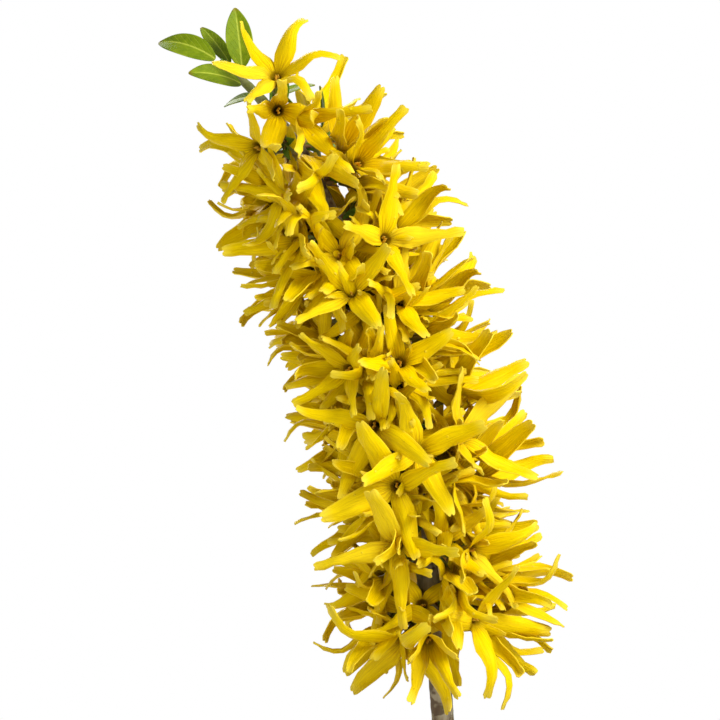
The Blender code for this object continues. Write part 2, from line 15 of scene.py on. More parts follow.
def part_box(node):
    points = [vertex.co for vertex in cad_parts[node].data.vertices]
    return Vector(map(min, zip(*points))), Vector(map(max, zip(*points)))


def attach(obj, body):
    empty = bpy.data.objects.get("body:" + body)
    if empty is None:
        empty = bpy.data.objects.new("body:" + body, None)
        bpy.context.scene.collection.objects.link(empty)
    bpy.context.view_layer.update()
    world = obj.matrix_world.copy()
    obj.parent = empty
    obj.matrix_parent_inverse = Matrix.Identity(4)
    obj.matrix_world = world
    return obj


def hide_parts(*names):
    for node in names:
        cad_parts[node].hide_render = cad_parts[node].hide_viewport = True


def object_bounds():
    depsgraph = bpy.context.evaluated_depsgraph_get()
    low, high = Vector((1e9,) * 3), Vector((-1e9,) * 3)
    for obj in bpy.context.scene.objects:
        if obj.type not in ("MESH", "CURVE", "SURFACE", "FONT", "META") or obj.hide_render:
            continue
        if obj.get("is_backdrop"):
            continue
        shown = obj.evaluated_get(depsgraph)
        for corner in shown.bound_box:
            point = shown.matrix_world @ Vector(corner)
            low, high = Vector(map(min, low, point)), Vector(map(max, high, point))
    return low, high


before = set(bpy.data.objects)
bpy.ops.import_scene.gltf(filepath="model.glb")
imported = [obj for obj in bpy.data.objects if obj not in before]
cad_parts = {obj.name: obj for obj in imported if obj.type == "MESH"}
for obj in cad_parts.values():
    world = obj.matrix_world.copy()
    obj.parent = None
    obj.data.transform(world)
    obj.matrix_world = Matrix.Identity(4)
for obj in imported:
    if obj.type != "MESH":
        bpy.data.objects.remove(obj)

bl_info = {
    "name": "Potted Forsythia",
    "version": (1, 0, 0),
    "blender": (4, 5, 0),
    "location": "View3D > Sidebar > Forsythia",
    "description": "Models the blooms, leaves, bark, pot and soil of a potted forsythia shoot",
    "category": "Add Mesh",
}

NODES = sorted(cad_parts)
FLOWER_GROUPS = [name for name in NODES if name.startswith("flowers_")]
LEAVES = [name for name in NODES if "_leaf_" in name]

# The blunt end of a petal in the frame: its thickness and its width.
PETAL_END = (0.0005, 0.0026)


def colour(name, about, default):
    return bpy.props.FloatVectorProperty(
        name=name, description=about, subtype="COLOR", size=3, min=0, max=1, default=default
    )


def length(name, about, default):
    return bpy.props.FloatProperty(
        name=name, description=about, default=default, min=0, precision=5, unit="LENGTH"
    )


def share(name, about, default):
    return bpy.props.FloatProperty(name=name, description=about, default=default, min=0, max=1)


class BloomSettings(bpy.types.PropertyGroup):
    yellow: colour("Yellow", "Main colour of the petals", (0.90, 0.655, 0.0))
    deep_yellow: colour("Deep yellow", "Colour between the petals' veins", (0.69, 0.465, 0.0))
    pale_yellow: colour("Pale yellow", "Colour at the petals' tips", (0.92, 0.74, 0.085))
    # The throat colour is painted shade deep in the flower.
    throat: colour("Throat", "Colour deep in the flower", (0.20, 0.12, 0.004))
    petal_thickness: length("Petal thickness", "Thickness of a petal", 0.00028)
    petal_width: share("Petal width", "Width of a petal as a share of its fullest", 0.95)
    anther: colour("Anther", "Colour of the stamens", (0.80, 0.42, 0.02))
    calyx: colour("Calyx", "Green of calyx and stalk", (0.17, 0.22, 0.03))
    scale_brown: colour("Bud scale", "Brown of the bud scales", (0.20, 0.10, 0.035))
    seed: bpy.props.IntProperty(name="Seed", description="Seed of the variation", default=11)


class LeafSettings(bpy.types.PropertyGroup):
    green: colour("Leaf green", "Main colour of the leaves", (0.125, 0.195, 0.0015))
    rib: colour("Rib", "Colour of the midrib and the margin", (0.42, 0.48, 0.05))
    light: colour("Light green", "Lighter green of a leaf's patches", (0.26, 0.33, 0.006))


class WoodSettings(bpy.types.PropertyGroup):
    bark: colour("Bark", "Main colour of the bark", (0.30, 0.25, 0.135))
    bark_dark: colour("Dark bark", "Colour of the bark's furrows and scars", (0.10, 0.057, 0.027))
    bark_pale: colour("Pale bark", "Colour of the pores and worn bark", (0.57, 0.52, 0.36))
    pores: bpy.props.IntProperty(
        name="Pores", description="Number of raised pores on the stem", default=230, min=0
    )


class PotSettings(bpy.types.PropertyGroup):
    clay: colour("Clay", "Main colour of the clay", (0.47, 0.165, 0.075))
    clay_pale: colour("Pale clay", "Colour of the mineral bloom", (0.62, 0.42, 0.30))
    soil: colour("Soil", "Main colour of the soil", (0.030, 0.018, 0.011))
    bark_bits: bpy.props.IntProperty(
        name="Bits", description="Number of loose bits on the soil", default=420, min=0
    )


# ---------------------------------------------------------------- finishes


class Value:
    """A number or colour worked out over a surface; sums on it add nodes."""

    def __init__(self, tree, node, output=0):
        self.tree = tree
        self.node = node
        self.socket = node.outputs[output]

    def __getitem__(self, output):
        return Value(self.tree, self.node, output)

    def maths(self, operation, *items):
        node = self.tree.nodes.new("ShaderNodeMath")
        node.operation = operation
        for socket, item in zip(node.inputs, items):
            plug(self.tree, socket, item)
        return Value(self.tree, node)

    def __add__(self, other):
        return self.maths("ADD", self, other)

    __radd__ = __add__

    def __mul__(self, other):
        return self.maths("MULTIPLY", self, other)

    __rmul__ = __mul__

    def __sub__(self, other):
        return self.maths("SUBTRACT", self, other)

    def __rsub__(self, other):
        return self.maths("SUBTRACT", other, self)

    def floor(self):
        return self.maths("FLOOR", self)

    def size(self):
        return self.maths("ABSOLUTE", self)

    def wave(self):
        return self.maths("SINE", self)

    def most(self, other):
        return self.maths("MAXIMUM", self, other)


def plug(tree, socket, item):
    """Links a worked-out value to a socket, or sets a plain one on it."""
    if isinstance(item, Value):
        tree.links.new(item.socket, socket)
    elif socket.type == "RGBA" and len(item) == 3:
        socket.default_value = (*item, 1)
    else:
        socket.default_value = item


class Finish:
    """A material with a Principled surface."""

    def __init__(self, name):
        self.material = bpy.data.materials.new(name)
        self.material.use_nodes = True
        self.tree = self.material.node_tree
        self.surface = self.tree.nodes["Principled BSDF"]

    def node(self, kind, settings=None, values=None):
        made = self.tree.nodes.new(kind)
        for name, setting in (settings or {}).items():
            setattr(made, name, setting)
        for name, item in (values or {}).items():
            plug(self.tree, made.inputs[name], item)
        return Value(self.tree, made)

    def place(self):
        return self.node("ShaderNodeTexCoord")["Object"]

    def stretched(self, scale):
        return self.node(
            "ShaderNodeMapping", values={"Vector": self.place(), "Scale": scale}
        )

    def noise(self, vector, scale, detail=2.0, roughness=0.5):
        values = {"Vector": vector, "Scale": scale, "Detail": detail, "Roughness": roughness}
        return self.node("ShaderNodeTexNoise", values=values)

    def spots(self, vector, scale):
        """Distance from scattered points."""
        return self.node("ShaderNodeTexVoronoi", values={"Vector": vector, "Scale": scale})

    def rise(self, value, low, high):
        """0 below low, 1 above high, smooth between them; the other way if low is above."""
        settings = {"interpolation_type": "SMOOTHSTEP"}
        ends = {"From Min": min(low, high), "From Max": max(low, high)}
        way = {"To Min": 0.0, "To Max": 1.0} if low < high else {"To Min": 1.0, "To Max": 0.0}
        return self.node("ShaderNodeMapRange", settings, {"Value": value, **ends, **way})

    def mix(self, amount, first, second):
        node = self.tree.nodes.new("ShaderNodeMix")
        node.data_type = "RGBA"
        plug(self.tree, node.inputs[0], amount)
        plug(self.tree, node.inputs[6], first)
        plug(self.tree, node.inputs[7], second)
        return Value(self.tree, node, 2)

    def point(self, x, y, z):
        return self.node("ShaderNodeCombineXYZ", values={"X": x, "Y": y, "Z": z})

    def bump(self, height, strength, distance):
        values = {"Height": height, "Strength": strength, "Distance": distance}
        return self.node("ShaderNodeBump", values=values)

    def apply(self, **values):
        """Sets the surface's sockets, named with _ for a space."""
        for name, item in values.items():
            plug(self.tree, self.surface.inputs[name.replace("_", " ")], item)
        return self.material


def petal_finish(look):
    """Across the petal U runs 0 to 1 over a whole number that tells petals apart.

    V runs from -1 at the foot of the flower's tube, through 0 at its mouth, to 1 at the tip.
    """
    finish = Finish("forsythia_petal")
    uv = finish.node("ShaderNodeUVMap", {"uv_map": "bloom"})
    split = finish.node("ShaderNodeSeparateXYZ", values={"Vector": uv})
    whole = split["X"].floor()
    across = split["X"] - whole
    along = split["Y"]
    margin = (across * 2 - 1).size()
    streak = finish.noise(finish.point(across * 16, along * 1.6, whole * 3.7), 1.0, 3.0)
    fine = finish.noise(finish.point(across * 44, along * 3.0, whole * 5.1), 1.0, 2.0)
    patch = finish.noise(finish.place(), 95.0, 3.0)
    vein = finish.rise(streak, 0.62, 0.40) * 0.6 + finish.rise(fine, 0.60, 0.38) * 0.4
    tint = finish.mix(vein * 0.8, look.yellow, look.deep_yellow)
    old = finish.noise(finish.point(whole * 1.37, whole * 0.71, 0.0), 1.0, 0.0)
    tint = finish.mix(finish.rise(old, 0.50, 0.80) * 0.12, tint, look.pale_yellow)
    worn = finish.rise(patch, 0.56, 0.74) * 0.25
    tint = finish.mix(worn, tint, look.deep_yellow)
    ragged = along + (margin - 0.5) * 0.05 + (patch - 0.5) * 0.22
    tip = finish.rise(ragged, 0.80, 1.04) * 0.55
    edge = finish.rise(margin, 0.80, 1.0) * finish.rise(along, 0.10, 0.45) * 0.22
    tint = finish.mix(tip.most(edge), tint, look.pale_yellow)
    ray = finish.rise((across * 37.7 + streak * 7.0).wave(), 0.15, 0.95)
    guide = ray * finish.rise(along, 0.36, 0.02) * 0.62
    tint = finish.mix(guide, tint, (0.50, 0.22, 0.0))
    # Painted shade: towards the mouth the petals darken to the throat colour, and down the tube
    # nearly to black, where shade falls.
    shade = finish.rise(along + (streak - 0.5) * 0.16, 0.17, -0.12)
    tint = finish.mix(shade * 0.85, tint, look.throat)
    deep = finish.rise(along, -0.25, -0.85)
    tint = finish.mix(deep * 0.9, tint, (0.075, 0.065, 0.008))
    fleck = finish.rise(finish.spots(finish.place(), 620.0)["Distance"], 0.16, 0.06)
    fleck = fleck * finish.rise(patch, 0.60, 0.68) * 0.55
    tint = finish.mix(fleck, tint, (0.30, 0.14, 0.005))
    drop = finish.rise(finish.spots(finish.place(), 400.0)["Distance"], 0.20, 0.10)
    dew_and_glint = drop * finish.rise(finish.noise(finish.place(), 120.0), 0.50, 0.60)
    # Painted highlight: the dew spots are tinted pale yellow; their gloss and relief come from
    # the roughness and the bump.
    tint = finish.mix(dew_and_glint * 0.35, tint, look.pale_yellow)
    height = streak * 0.9 + fine * 0.5 + patch * 0.6 + dew_and_glint * 0.9
    return finish.apply(
        Base_Color=tint,
        Roughness=(0.30 + patch * 0.26) * (1.0 - dew_and_glint * 0.7),
        Specular_IOR_Level=0.26,
        Specular_Tint=(1.0, 0.78, 0.10),
        Normal=finish.bump(height, 0.6, 0.0005),
    )


def plain_finish(name, tint, other, scale, roughness, bump=0.2):
    """A mottled surface of two colours."""
    finish = Finish(name)
    cloud = finish.noise(finish.place(), scale, 4.0, 0.6)
    tint = finish.mix(finish.rise(cloud, 0.35, 0.70), tint, other)
    return finish.apply(
        Base_Color=tint,
        Roughness=roughness,
        Specular_IOR_Level=0.3,
        Normal=finish.bump(cloud, bump, 0.0003),
    )


def leaf_finish(look):
    """U runs -1 to 1 across the blade and V from 0 at the stalk to 1 at the tip."""
    finish = Finish("forsythia_leaf")
    uv = finish.node("ShaderNodeUVMap", {"uv_map": "blade"})
    split = finish.node("ShaderNodeSeparateXYZ", values={"Vector": uv})
    across, along = split["X"], split["Y"]
    side = across.size()
    cloud = finish.noise(finish.place(), 420.0, 4.0, 0.6)
    tint = finish.mix(finish.rise(cloud, 0.30, 0.75) * 0.6, look.green, look.light)
    net = ((along * 46 - side * 17) + cloud * 2.2).wave()
    vein = finish.rise(net, 0.70, 1.0) * finish.rise(side, 0.98, 0.6) * 0.14
    rib = finish.rise(side, 0.10, 0.02) * finish.rise(along, 1.02, 0.70) * 0.85
    edge = finish.rise(side, 0.88, 1.0) * 0.55
    tint = finish.mix(rib.most(vein).most(edge), tint, look.rib)
    red = finish.rise(along, 0.90, 1.0) * 0.45
    tint = finish.mix(red, tint, (0.30, 0.12, 0.02))
    keel = side * 1.7 + cloud * 0.16 - vein
    return finish.apply(
        Base_Color=tint,
        Roughness=0.42 + cloud * 0.20,
        Specular_IOR_Level=0.24,
        Specular_Tint=(0.85, 1.0, 0.45),
        Normal=finish.bump(keel, 0.6, 0.0009),
    )


def bark_finish(look):
    finish = Finish("forsythia_bark")
    grain = finish.noise(finish.stretched((1.0, 1.0, 0.16)), 900.0, 5.0, 0.62)
    broad = finish.noise(finish.place(), 130.0, 3.0)
    tint = finish.mix(finish.rise(grain, 0.36, 0.66), look.bark_dark, look.bark)
    tint = finish.mix(finish.rise(broad, 0.42, 0.62) * 0.7, tint, look.bark_pale)
    pores = finish.spots(finish.stretched((1.0, 1.0, 0.62)), 620.0)["Distance"]
    tint = finish.mix(finish.rise(pores, 0.20, 0.10) * 0.5, tint, look.bark_pale)
    green = finish.rise(finish.noise(finish.place(), 210.0, 2.0), 0.52, 0.70) * 0.45
    scar = finish.rise(finish.noise(finish.stretched((1.0, 1.0, 1.8)), 105.0, 3.0), 0.53, 0.58)
    tint = finish.mix(scar * 0.8, tint, look.bark_dark)
    height = finish.node("ShaderNodeSeparateXYZ", values={"Vector": finish.place()})["Z"]
    young = finish.rise(height + (broad - 0.5) * 0.02, 0.262, 0.276) * 0.8
    tint = finish.mix(green.most(young), tint, (0.15, 0.18, 0.03))
    return finish.apply(
        Base_Color=tint,
        Roughness=0.72,
        Specular_IOR_Level=0.3,
        Normal=finish.bump(grain * 0.8 + pores * -0.3, 0.75, 0.0004),
    )


def clay_finish(look):
    finish = Finish("terracotta")
    split = finish.node("ShaderNodeSeparateXYZ", values={"Vector": finish.place()})
    height = split["Z"]
    cloud = finish.noise(finish.place(), 26.0, 5.0, 0.62)
    grit = finish.noise(finish.place(), 900.0, 3.0, 0.6)
    turning = finish.noise(finish.stretched((3.0, 3.0, 320.0)), 1.0, 2.0)
    tint = finish.mix(finish.rise(cloud, 0.35, 0.70) * 0.55, look.clay, (0.56, 0.23, 0.11))
    tint = finish.mix(finish.rise(turning, 0.52, 0.72) * 0.4, tint, (0.34, 0.115, 0.05))
    low = finish.rise(height + (cloud - 0.5) * 0.06, 0.034, 0.0)
    high = finish.rise(height + (cloud - 0.5) * 0.03, 0.074, 0.090)
    patch = finish.noise(finish.place(), 60.0, 5.0, 0.7)
    lime = (low * 0.8).most(high * 0.55) * finish.rise(patch, 0.42, 0.60)
    tint = finish.mix(lime, tint, look.clay_pale)
    # Darker towards the bottom of the pot.
    darker_foot = finish.rise(height + (patch - 0.5) * 0.03, 0.012, 0.002) * 0.5
    tint = finish.mix(darker_foot, tint, (0.20, 0.085, 0.045))
    speck = finish.rise(finish.spots(finish.place(), 420.0)["Distance"], 0.20, 0.10)
    tint = finish.mix(speck * finish.rise(grit, 0.52, 0.62) * 0.7, tint, (0.20, 0.07, 0.035))
    relief = turning * 0.5 + grit * 0.5 + cloud * 0.6
    return finish.apply(
        Base_Color=tint,
        Roughness=0.80 + grit * 0.12,
        Specular_IOR_Level=0.25,
        Normal=finish.bump(relief, 0.5, 0.0008),
    )


def soil_finish(look):
    finish = Finish("potting_soil")
    crumb = finish.noise(finish.place(), 480.0, 6.0, 0.7)
    cloud = finish.noise(finish.place(), 60.0, 2.0)
    tint = finish.mix(finish.rise(crumb, 0.38, 0.70), look.soil, (0.085, 0.055, 0.034))
    tint = finish.mix(finish.rise(cloud, 0.50, 0.72) * 0.5, tint, (0.055, 0.037, 0.024))
    return finish.apply(
        Base_Color=tint,
        Roughness=0.94,
        Specular_IOR_Level=0.2,
        Normal=finish.bump(crumb, 1.0, 0.0012),
    )


# ---------------------------------------------------------------- modelling helpers


def clear_selection():
    if bpy.context.object and bpy.context.object.mode != "OBJECT":
        bpy.ops.object.mode_set(mode="OBJECT")
    bpy.ops.object.select_all(action="DESELECT")


def pick_up(piece):
    clear_selection()
    piece.select_set(True)
    bpy.context.view_layer.objects.active = piece


def edit(piece):
    pick_up(piece)
    bpy.ops.object.mode_set(mode="EDIT")


def choose(test):
    """Selects the vertices of the edited mesh whose place passes a test."""
    mesh = bpy.context.object.data
    shape = bmesh.from_edit_mesh(mesh)
    for vert in shape.verts:
        vert.select = bool(test(vert.co))
    shape.select_mode = {"VERT"}
    shape.select_flush_mode()
    bmesh.update_edit_mesh(mesh)


def finished(piece):
    """Applies the piece's modifiers and its place."""
    pick_up(piece)
    for modifier in list(piece.modifiers):
        bpy.ops.object.modifier_apply(modifier=modifier.name)
    bpy.ops.object.transform_apply(location=True, rotation=True, scale=True)
    return piece


def add_modifier(piece, kind, **settings):
    modifier = piece.modifiers.new(kind.lower(), kind)
    for name, setting in settings.items():
        setattr(modifier, name, setting)
    return modifier


def roughen(piece, name, scale, **settings):
    """Adds a displacement by a cloudy pattern, out and in alike unless mid_level is given."""
    pattern = bpy.data.textures.new(name, "CLOUDS")
    pattern.noise_scale = scale
    settings = {"mid_level": 0.5, **settings}
    add_modifier(piece, "DISPLACE", texture=pattern, texture_coords="LOCAL", **settings)


def round_off(piece, angle=40):
    pick_up(piece)
    bpy.ops.object.shade_smooth_by_angle(angle=math.radians(angle))


def copy_of(template, matrix, shift=0):
    """A copy with its own mesh. Shift moves its U by whole steps, to tell it from others."""
    mesh = template.data.copy()
    mesh.transform(matrix)
    if shift:
        for loop in mesh.uv_layers["bloom"].data:
            loop.uv.x += shift
    piece = bpy.data.objects.new(template.name, mesh)
    bpy.context.scene.collection.objects.link(piece)
    return piece


def solid_copy(node, name):
    """A new object with the frame node's shape, its vertices merged."""
    shape = merged(node)
    mesh = bpy.data.meshes.new(name)
    shape.to_mesh(mesh)
    shape.free()
    piece = bpy.data.objects.new(name, mesh)
    bpy.context.scene.collection.objects.link(piece)
    return piece


def turned_to(x, y, z):
    """The turn that takes the axes to three directions."""
    return Matrix((x, y, z)).transposed().to_4x4()


def upright_on(way):
    """The turn that takes Z to a direction."""
    return way.to_track_quat("Z", "Y").to_matrix().to_4x4()


def join(pieces, name):
    clear_selection()
    for piece in pieces:
        piece.select_set(True)
    bpy.context.view_layer.objects.active = pieces[0]
    if len(pieces) > 1:
        bpy.ops.object.join()
    joined = bpy.context.object
    joined.name = name
    joined.data.name = name
    return joined


def dress(piece, finish, slot, *nodes):
    """Gives a finished piece its material and ties it to the frame."""
    if finish:
        piece.data.materials.clear()
        piece.data.materials.append(finish)
    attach(piece, "root")
    if nodes:
        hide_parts(*nodes)
    return piece


def discard(*pieces):
    for piece in pieces:
        bpy.data.objects.remove(piece)


def turned(points, steps, name):
    """A turned shell: a chain of points is extruded one by one, then spun about Z.

    It is closed where the chain starts and ends on the axis.
    """
    clear_selection()
    bpy.ops.mesh.primitive_plane_add(size=0.001)
    piece = bpy.context.object
    piece.name = name
    edit(piece)
    bpy.ops.mesh.select_all(action="SELECT")
    bpy.ops.mesh.merge(type="CENTER")
    bpy.ops.mesh.select_all(action="SELECT")
    place = Vector(points[0])
    bpy.ops.transform.translate(value=place)
    for point in points[1:]:
        step = Vector(point) - place
        bpy.ops.mesh.extrude_vertices_move(TRANSFORM_OT_translate={"value": step})
        place = Vector(point)
    bpy.ops.mesh.select_all(action="SELECT")
    bpy.ops.mesh.spin(
        steps=steps, angle=math.tau, center=(0, 0, 0), axis=(0, 0, 1), use_auto_merge=True
    )
    bpy.ops.mesh.select_all(action="SELECT")
    bpy.ops.mesh.remove_doubles(threshold=0.000005)
    bpy.ops.mesh.normals_make_consistent(inside=False)
    bpy.ops.object.mode_set(mode="OBJECT")
    return piece


# ---------------------------------------------------------------- reading the frame


def merged(node):
    shape = bmesh.new()
    shape.from_mesh(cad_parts[node].data)
    bmesh.ops.remove_doubles(shape, verts=shape.verts, dist=0.000001)
    return shape


def middle_of(verts):
    return sum((vert.co for vert in verts), Vector()) / len(verts)


def neighbours(verts):
    found = {other for vert in verts for edge in vert.link_edges for other in edge.verts}
    return found - set(verts)


def stem_line():
    """(centre, radius) up the frame's stem, one for each of its rings of vertices."""
    shape = merged("stem")
    verts = sorted(shape.verts, key=lambda vert: vert.co.z)
    rings, ring = [], [verts[0]]
    for vert in verts[1:]:
        if vert.co.z - ring[-1].co.z > 0.0011:
            rings.append(ring)
            ring = []
        ring.append(vert)
    rings.append(ring)
    line = []
    for ring in rings:
        centre = middle_of(ring)
        reach = sum((vert.co - centre).length for vert in ring) / len(ring)
        line.append((centre, reach))
    shape.free()
    return line


def nearest_on(line, point):
    """The nearest point on the stem's centre line, and the way the stem runs there."""
    best = None
    for (start, _), (end, _) in zip(line, line[1:]):
        run = end - start
        along = max(0, min(1, (point - start).dot(run) / run.length_squared))
        place = start + run * along
        if best is None or (point - place).length < (point - best[0]).length:
            best = place, run.normalized()
    return best


def petal_ends(shape):
    """The four corners of each petal's blunt end, found by the end's size."""
    thin, wide = PETAL_END
    found = []
    for edge in shape.edges:
        corners = {vert for face in edge.link_faces for vert in face.verts}
        if len(corners) != 4:
            continue
        first = edge.verts[0]
        others = sorted(corners - set(edge.verts), key=lambda v: (v.co - first.co).length)
        short, long = (other.co - first.co for other in others)
        fits = abs(short.length - thin) < 0.00004 and abs(long.length - wide) < 0.00006
        if fits and abs(short.normalized().dot(long.normalized())) < 0.05:
            found.append((corners, long.normalized()))
    return found


def flowers_of(node):
    """The frame's flowers in a group: throat, axis and petals as (base, middle, tip, across)."""
    shape = merged(node)
    petals, owner = [], {}
    for corners, across in petal_ends(shape):
        middle = neighbours(corners)
        base = neighbours(middle) - corners
        if len(middle) == 4 and len(base) == 4:
            index = len(petals)
            petals.append((base, middle, corners, across))
            for vert in base:
                owner[vert] = index
    group = list(range(len(petals)))
    for vert, index in owner.items():
        for other in neighbours([vert]):
            if other in owner and group[owner[other]] != group[index]:
                old, new = group[owner[other]], group[index]
                group = [new if item == old else item for item in group]
    flowers = []
    for label in sorted(set(group)):
        members = [petals[i] for i in range(len(petals)) if group[i] == label]
        bases = set().union(*(member[0] for member in members))
        middles = set().union(*(member[1] for member in members))
        throat = middle_of(bases)
        axis = (middle_of(middles) - throat).normalized()
        rows = [
            (middle_of(base), middle_of(middle), middle_of(tip), across)
            for base, middle, tip, across in members
        ]
        flowers.append({"throat": throat, "axis": axis, "petals": rows})
    shape.free()
    return flowers


def spur_of(node, line):
    """(foot, outward, along the stem) of a group's woody spur."""
    shape = merged(node)
    near = sorted(
        shape.verts, key=lambda vert: (vert.co - nearest_on(line, vert.co)[0]).length
    )
    foot = middle_of(near[:6])
    place, along = nearest_on(line, foot)
    shape.free()
    return foot, (foot - place).normalized(), along


def young_flower(root, out, along, chance):
    """A smaller flower that opens near the stem, laid out as the frame's flowers are."""
    side = out.cross(along)
    axis = out + along * chance.uniform(-0.9, 0.9) + side * chance.uniform(-0.8, 0.8)
    axis.normalize()
    throat = root + axis * YOUNG_REACH
    first = axis.orthogonal().normalized()
    turn = chance.uniform(0, math.tau)
    opening = chance.uniform(0.75, 1.25)
    petals = []
    for index in range(4):
        angle = turn + math.tau * index / 4 + chance.uniform(-0.15, 0.15)
        away = first * math.cos(angle) + axis.cross(first) * math.sin(angle)
        lean = opening + chance.uniform(-0.15, 0.15)
        run = away * math.sin(lean) + axis * math.cos(lean)
        base = throat + away * THROAT
        tip = base + run * chance.uniform(0.0115, 0.0150)
        petals.append((base, (base + tip) / 2, tip, axis.cross(away)))
    return {"throat": throat, "axis": axis, "petals": petals}


def clearance(flower, taken):
    points = [flower["throat"]] + [petal[1] for petal in flower["petals"]]
    points += [petal[2] for petal in flower["petals"]]
    return min((point - other).length for point in points for other in taken)


def read_blooms(seed):
    """Every group's spur and flowers: those of the frame and young ones between them."""
    line = stem_line()
    groups = {node: flowers_of(node) for node in FLOWER_GROUPS}
    spurs = {node: spur_of(node, line) for node in FLOWER_GROUPS}
    taken = [flower["throat"] for flowers in groups.values() for flower in flowers]
    taken += [
        point
        for flowers in groups.values()
        for flower in flowers
        for petal in flower["petals"]
        for point in petal[1:3]
    ]
    taken += [place for place, _ in line]
    chance = random.Random(seed)
    for node in FLOWER_GROUPS:
        foot, out, along = spurs[node]
        root = foot + out * ROOT_OUT
        if foot.z > YOUNG_BELOW:
            continue
        for _ in range(3 if out.y < -0.35 else 2):
            tries = [young_flower(root, out, along, chance) for _ in range(YOUNG_TRIES)]
            best = max(tries, key=lambda flower: clearance(flower, taken))
            groups[node].append(best)
            taken += [best["throat"]] + [petal[1] for petal in best["petals"]]
    return groups, spurs


# ---------------------------------------------------------------- blooms


# Petal shapes: (widths from base to tip as shares of the length, how far the margins roll
# back, how far the petal and its tip bend back, twist, depth of the notch in the tip), angles
# in degrees.
PETAL_SHAPES = (
    ((0.24, 0.33, 0.35, 0.31, 0.25, 0.21, 0.18, 0.16, 0.16), 190, 14, 8, 0, 0.015),
    ((0.22, 0.29, 0.31, 0.30, 0.28, 0.26, 0.24, 0.22, 0.19), 130, -8, 0, 16, 0.025),
    ((0.23, 0.32, 0.33, 0.28, 0.23, 0.19, 0.17, 0.16, 0.15), 270, 18, 12, -12, 0.01),
    ((0.22, 0.31, 0.34, 0.31, 0.25, 0.20, 0.17, 0.15, 0.14), 150, -10, -8, -50, 0.0),
    ((0.24, 0.33, 0.36, 0.32, 0.27, 0.23, 0.20, 0.18, 0.17), 170, 6, 45, 10, 0.02),
    ((0.24, 0.33, 0.36, 0.33, 0.28, 0.23, 0.19, 0.17, 0.16), 170, -8, -42, 20, 0.02),
    ((0.26, 0.36, 0.39, 0.37, 0.33, 0.28, 0.24, 0.20, 0.16), 140, 16, 0, -18, 0.03),
)
PETAL_ACROSS = 6

# A flower's tube: its radius at the mouth, its depth, and how far below the mouth the calyx
# ends and the sepals start.
THROAT = 0.0018
TUBE_DEPTH = 0.0056
CALYX_DEPTH = 0.0052
SEPAL_DEPTH = 0.0055

# The share of a petal that shapes the funnel at the mouth.
FUNNEL = 0.36

# How far the stalks' root stands out from the foot of their spur.
ROOT_OUT = 0.0012

# How far a young flower's throat stands from its root, and how many are tried for each.
YOUNG_REACH = 0.0078
YOUNG_TRIES = 24

# Above this height the stem is young and green, with no young flowers.
YOUNG_BELOW = 0.254


def model_petal(name, form, look, index):
    """A petal one unit long that stands on its base, its upper side to -Y."""
    widths, roll, arch, curl, twist, notch = form
    rows = len(widths) - 1
    clear_selection()
    bpy.ops.mesh.primitive_grid_add(
        x_subdivisions=PETAL_ACROSS, y_subdivisions=rows, size=1, rotation=(math.pi / 2, 0, 0)
    )
    piece = bpy.context.object
    piece.name = name
    bpy.ops.object.transform_apply(location=True, rotation=True, scale=True)
    edit(piece)
    bpy.ops.mesh.select_all(action="SELECT")
    bpy.ops.transform.translate(value=(0, 0, 0.5))
    for row, width in enumerate(widths):
        height = row / rows
        choose(lambda co: abs(co.z - height) < 0.001)
        wide = width * look.petal_width
        bpy.ops.transform.resize(value=(wide, 1, 1), center_override=(0, 0, height))
    choose(lambda co: co.z > 0.999 and abs(co.x) < 0.001)
    bpy.ops.transform.translate(value=(0, 0, -notch))
    for side, drop in ((1, 0.05), (-1, 0.03)):
        choose(lambda co: co.z > 0.999 and co.x * side > widths[-1] * look.petal_width * 0.45)
        bpy.ops.transform.translate(value=(0, 0, -drop))
    bpy.ops.object.mode_set(mode="OBJECT")
    piece.data.uv_layers[0].name = "bloom"
    rolled = piece.vertex_groups.new(name="rolled")
    upper = piece.vertex_groups.new(name="upper")
    for vert in piece.data.vertices:
        rolled.add([vert.index], min(1, max(0, vert.co.z * 2.2 - 0.1)), "REPLACE")
        upper.add([vert.index], min(1, max(0, (vert.co.z - 0.55) * 2.4)), "REPLACE")
    ripple = 0.19 + 0.035 * index
    crinkle = 0.07 + 0.006 * index
    roughen(piece, "ripple", ripple, direction="X", strength=0.07)
    roughen(piece, "ripple", ripple + 0.1, direction="Y", strength=0.12)
    roughen(piece, "crinkle", crinkle, direction="Y", strength=0.10, vertex_group="upper")
    bends = (("Z", roll, "rolled"), ("X", arch, ""), ("X", curl, "upper"))
    for axis, angle, group in bends:
        bend = add_modifier(piece, "SIMPLE_DEFORM", deform_method="BEND", deform_axis=axis)
        bend.angle = math.radians(angle)
        bend.vertex_group = group
    spin = add_modifier(piece, "SIMPLE_DEFORM", deform_method="TWIST", deform_axis="Z")
    spin.angle = math.radians(twist)
    finished(piece)
    piece.vertex_groups.clear()
    across = PETAL_ACROSS + 1
    low = middle_of(piece.data.vertices[:across])
    high = middle_of(piece.data.vertices[-across:])
    way = high - low
    level = way.rotation_difference(Vector((0, 0, 1))).to_matrix().to_4x4()
    piece.data.transform(Matrix.Scale(1 / way.length, 4) @ level @ Matrix.Translation(-low))
    return piece


def thicken(piece, thickness):
    add_modifier(piece, "SOLIDIFY", thickness=thickness, offset=0)
    return finished(piece)


def model_tube():
    """The flower's tube, its mouth at the origin and open to +Z."""
    points = (
        (0.00065, 0, -TUBE_DEPTH),
        (0.00085, 0, -0.0042),
        (0.00100, 0, -0.0028),
        (0.00125, 0, -0.0014),
        (THROAT, 0, 0),
    )
    piece = turned(points, 16, "flower_tube")
    layer = piece.data.uv_layers.new(name="bloom")
    for face in piece.data.polygons:
        around = math.atan2(face.center.y, face.center.x) / math.tau % 1
        for loop in face.loop_indices:
            place = piece.data.vertices[piece.data.loops[loop].vertex_index].co
            layer.data[loop].uv = (0.02 + 0.96 * around, place.z / TUBE_DEPTH)
    return piece


